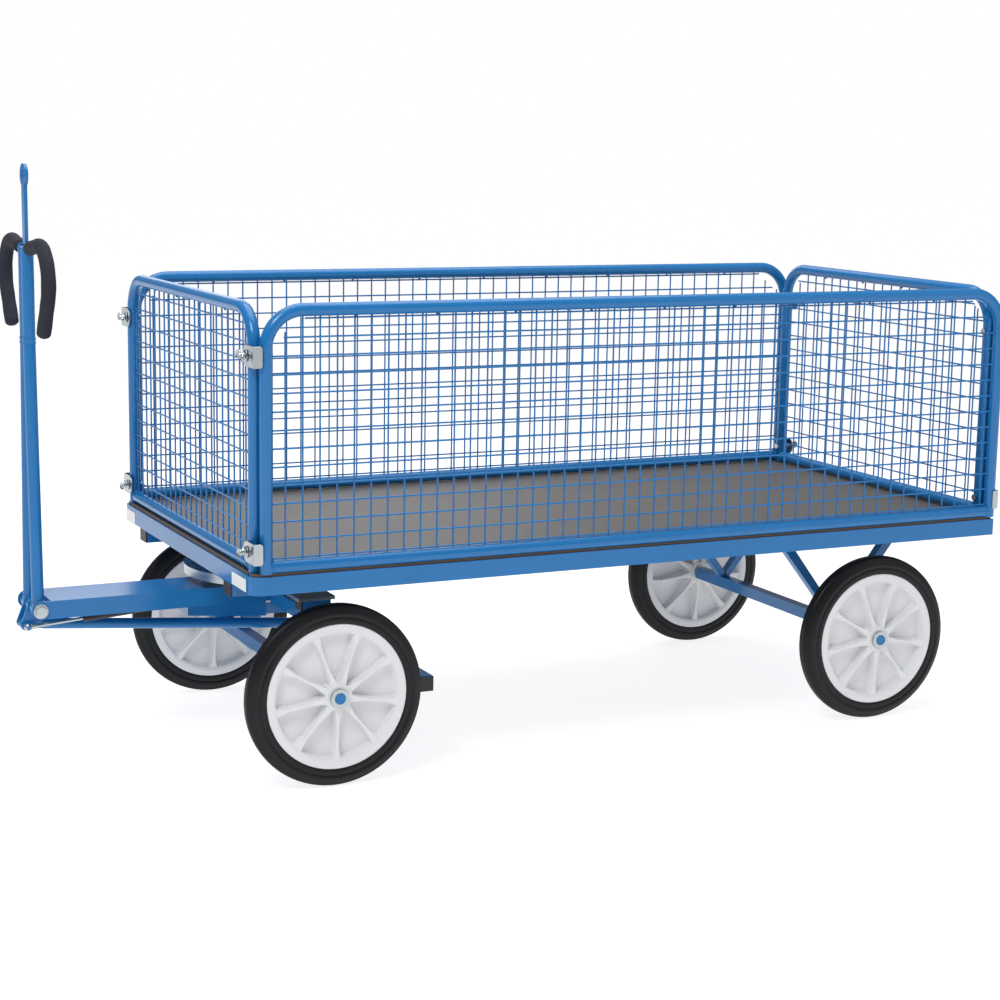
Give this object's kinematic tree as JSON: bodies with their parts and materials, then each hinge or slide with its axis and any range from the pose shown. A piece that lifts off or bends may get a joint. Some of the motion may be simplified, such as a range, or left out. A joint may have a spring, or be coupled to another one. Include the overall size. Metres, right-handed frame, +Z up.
{
  "type": "platform truck",
  "caption": "Steel platform hand truck with turntable steering, upright drawbar, tyre brake, plywood bed and lift-off wire-mesh panels.",
  "frame": {"origin": "on the floor, under the middle of the overall bounding box", "axes": "+X from the drawbar towards the tail of the truck, +Z up, +Y towards the far side"},
  "size_m": [2.4168, 1.0196, 1.375],
  "materials": {
    "blue_paint": "gloss powder coat",
    "plywood": "film-faced, fine cross-hatch",
    "zinc_plate": "zinc plated",
    "black_plastic": "matte",
    "black_foam": "foam rubber",
    "white_plastic": "satin moulding",
    "white_label": "matte sticker without print",
    "black_rubber": "matte rubber"
  },
  "bodies": {
    "deck": {"deck_frame": "blue_paint", "corner_sockets": "blue_paint", "deck_board": "plywood", "cross_members": "blue_paint", "deck_rails": "blue_paint", "rail_caps": "black_plastic", "ring_bearers": "blue_paint", "ring_upper": "zinc_plate", "race_balls": "zinc_plate", "rear_axle": "blue_paint", "rear_struts": "blue_paint", "rear_collars": "zinc_plate", "blank_labels": "white_label"},
    "bogie": {"ring_lower": "zinc_plate", "ring_plate": "zinc_plate", "side_bearers": "blue_paint", "bearer_caps": "black_plastic", "bogie_frame": "blue_paint", "front_axle": "blue_paint", "arm_channel": "blue_paint", "pivot_bolt": "zinc_plate", "front_collars": "zinc_plate"},
    "drawbar": {"drawbar_frame": "blue_paint", "towing_eye": "blue_paint", "handle_bar": "blue_paint", "grips": "black_foam"},
    "gas_rod": {"gas_rod": "zinc_plate"},
    "gas_cylinder": {"gas_cylinder": "black_plastic"},
    "brake_tube": {"brake_tube": "blue_paint"},
    "brake_bar": {"brake_bar": "blue_paint", "brake_caps": "black_plastic"},
    "wheel_front_near": {"rim_front_near": "white_plastic", "tyre_front_near": "black_rubber"},
    "wheel_front_far": {"rim_front_far": "white_plastic", "tyre_front_far": "black_rubber"},
    "wheel_rear_near": {"rim_rear_near": "white_plastic", "tyre_rear_near": "black_rubber"},
    "wheel_rear_far": {"rim_rear_far": "white_plastic", "tyre_rear_far": "black_rubber"},
    "front_panel": {"front_panel_frame": "blue_paint", "front_mesh": "blue_paint", "front_clamps": "zinc_plate", "front_clamp_bolts": "zinc_plate"},
    "rear_panel": {"rear_panel_frame": "blue_paint", "rear_mesh": "blue_paint", "rear_clamps": "zinc_plate", "rear_clamp_bolts": "zinc_plate"},
    "near_panel": {"near_panel_frame": "blue_paint", "near_mesh": "blue_paint"},
    "far_panel": {"far_panel_frame": "blue_paint", "far_mesh": "blue_paint"},
    "knob_front_near_low": {"knob_front_near_low": "zinc_plate"},
    "knob_front_near_high": {"knob_front_near_high": "zinc_plate"},
    "knob_front_far_low": {"knob_front_far_low": "zinc_plate"},
    "knob_front_far_high": {"knob_front_far_high": "zinc_plate"},
    "knob_rear_near_low": {"knob_rear_near_low": "zinc_plate"},
    "knob_rear_near_high": {"knob_rear_near_high": "zinc_plate"},
    "knob_rear_far_low": {"knob_rear_far_low": "zinc_plate"},
    "knob_rear_far_high": {"knob_rear_far_high": "zinc_plate"}
  },
  "joints": [
    {"name": "steering", "type": "hinge", "parent": "deck", "child": "bogie", "pos_m": [-0.6044, 0, 0.422], "axis": [0, 0, 1], "range_deg": [-60, 60]},
    {"name": "drawbar_tilt", "type": "hinge", "parent": "bogie", "child": "drawbar", "pos_m": [-1.1724, 0, 0.369], "axis": [0, -1, 0], "range_deg": [0, 75], "stiffness_Nm_per_rad": 34, "springref_deg": -20.05},
    {"name": "gas_rod_pivot", "type": "hinge", "parent": "drawbar", "child": "gas_rod", "pos_m": [-1.1964, -0.042, 0.328], "axis": [0, -1, 0], "range_deg": [-92, 1]},
    {"name": "gas_spring_slide", "type": "slide", "parent": "gas_rod", "child": "gas_cylinder", "axis": [-0.9967, 0, -0.0813], "range_m": [0, 0.059]},
    {"name": "brake_tube_pivot", "type": "hinge", "parent": "drawbar", "child": "brake_tube", "pos_m": [-1.1964, 0, 0.328], "axis": [0, -1, 0], "range_deg": [-92, 1]},
    {"name": "brake_slide", "type": "slide", "parent": "bogie", "child": "brake_bar", "axis": [1, 0, 0], "range_m": [0, 0.059]},
    {"name": "wheel_front_near_spin", "type": "hinge", "parent": "bogie", "child": "wheel_front_near", "pos_m": [-0.6044, -0.442, 0.21], "axis": [0, 1, 0], "continuous": true},
    {"name": "wheel_front_far_spin", "type": "hinge", "parent": "bogie", "child": "wheel_front_far", "pos_m": [-0.6044, 0.442, 0.21], "axis": [0, 1, 0], "continuous": true},
    {"name": "wheel_rear_near_spin", "type": "hinge", "parent": "deck", "child": "wheel_rear_near", "pos_m": [0.8606, -0.442, 0.21], "axis": [0, 1, 0], "continuous": true},
    {"name": "wheel_rear_far_spin", "type": "hinge", "parent": "deck", "child": "wheel_rear_far", "pos_m": [0.8606, 0.442, 0.21], "axis": [0, 1, 0], "continuous": true},
    {"name": "front_panel_lift", "type": "slide", "parent": "deck", "child": "front_panel", "axis": [0, 0, 1], "range_m": [0, 0.65]},
    {"name": "rear_panel_lift", "type": "slide", "parent": "deck", "child": "rear_panel", "axis": [0, 0, 1], "range_m": [0, 0.65]},
    {"name": "near_panel_lift", "type": "slide", "parent": "deck", "child": "near_panel", "axis": [0, 0, 1], "range_m": [0, 0.65]},
    {"name": "far_panel_lift", "type": "slide", "parent": "deck", "child": "far_panel", "axis": [0, 0, 1], "range_m": [0, 0.65]},
    {"name": "knob_front_near_low_turn", "type": "hinge", "parent": "front_panel", "child": "knob_front_near_low", "pos_m": [-0.8224, -0.462, 0.556], "axis": [1, 0, 0], "continuous": true},
    {"name": "knob_front_near_high_turn", "type": "hinge", "parent": "front_panel", "child": "knob_front_near_high", "pos_m": [-0.8224, -0.462, 0.983], "axis": [1, 0, 0], "continuous": true},
    {"name": "knob_front_far_low_turn", "type": "hinge", "parent": "front_panel", "child": "knob_front_far_low", "pos_m": [-0.8224, 0.462, 0.556], "axis": [1, 0, 0], "continuous": true},
    {"name": "knob_front_far_high_turn", "type": "hinge", "parent": "front_panel", "child": "knob_front_far_high", "pos_m": [-0.8224, 0.462, 0.983], "axis": [1, 0, 0], "continuous": true},
    {"name": "knob_rear_near_low_turn", "type": "hinge", "parent": "rear_panel", "child": "knob_rear_near_low", "pos_m": [1.1976, -0.462, 0.556], "axis": [1, 0, 0], "continuous": true},
    {"name": "knob_rear_near_high_turn", "type": "hinge", "parent": "rear_panel", "child": "knob_rear_near_high", "pos_m": [1.1976, -0.462, 0.983], "axis": [1, 0, 0], "continuous": true},
    {"name": "knob_rear_far_low_turn", "type": "hinge", "parent": "rear_panel", "child": "knob_rear_far_low", "pos_m": [1.1976, 0.462, 0.556], "axis": [1, 0, 0], "continuous": true},
    {"name": "knob_rear_far_high_turn", "type": "hinge", "parent": "rear_panel", "child": "knob_rear_far_high", "pos_m": [1.1976, 0.462, 0.983], "axis": [1, 0, 0], "continuous": true}
  ],
  "couplings": [
    {"joint": "gas_rod_pivot", "follows": "drawbar_tilt", "ratio": -0.9915},
    {"joint": "gas_spring_slide", "follows": "drawbar_tilt", "m_per_rad": 0.0442},
    {"joint": "brake_tube_pivot", "follows": "drawbar_tilt", "ratio": -1.0006},
    {"joint": "brake_slide", "follows": "drawbar_tilt", "m_per_rad": 0.0444}
  ]
}
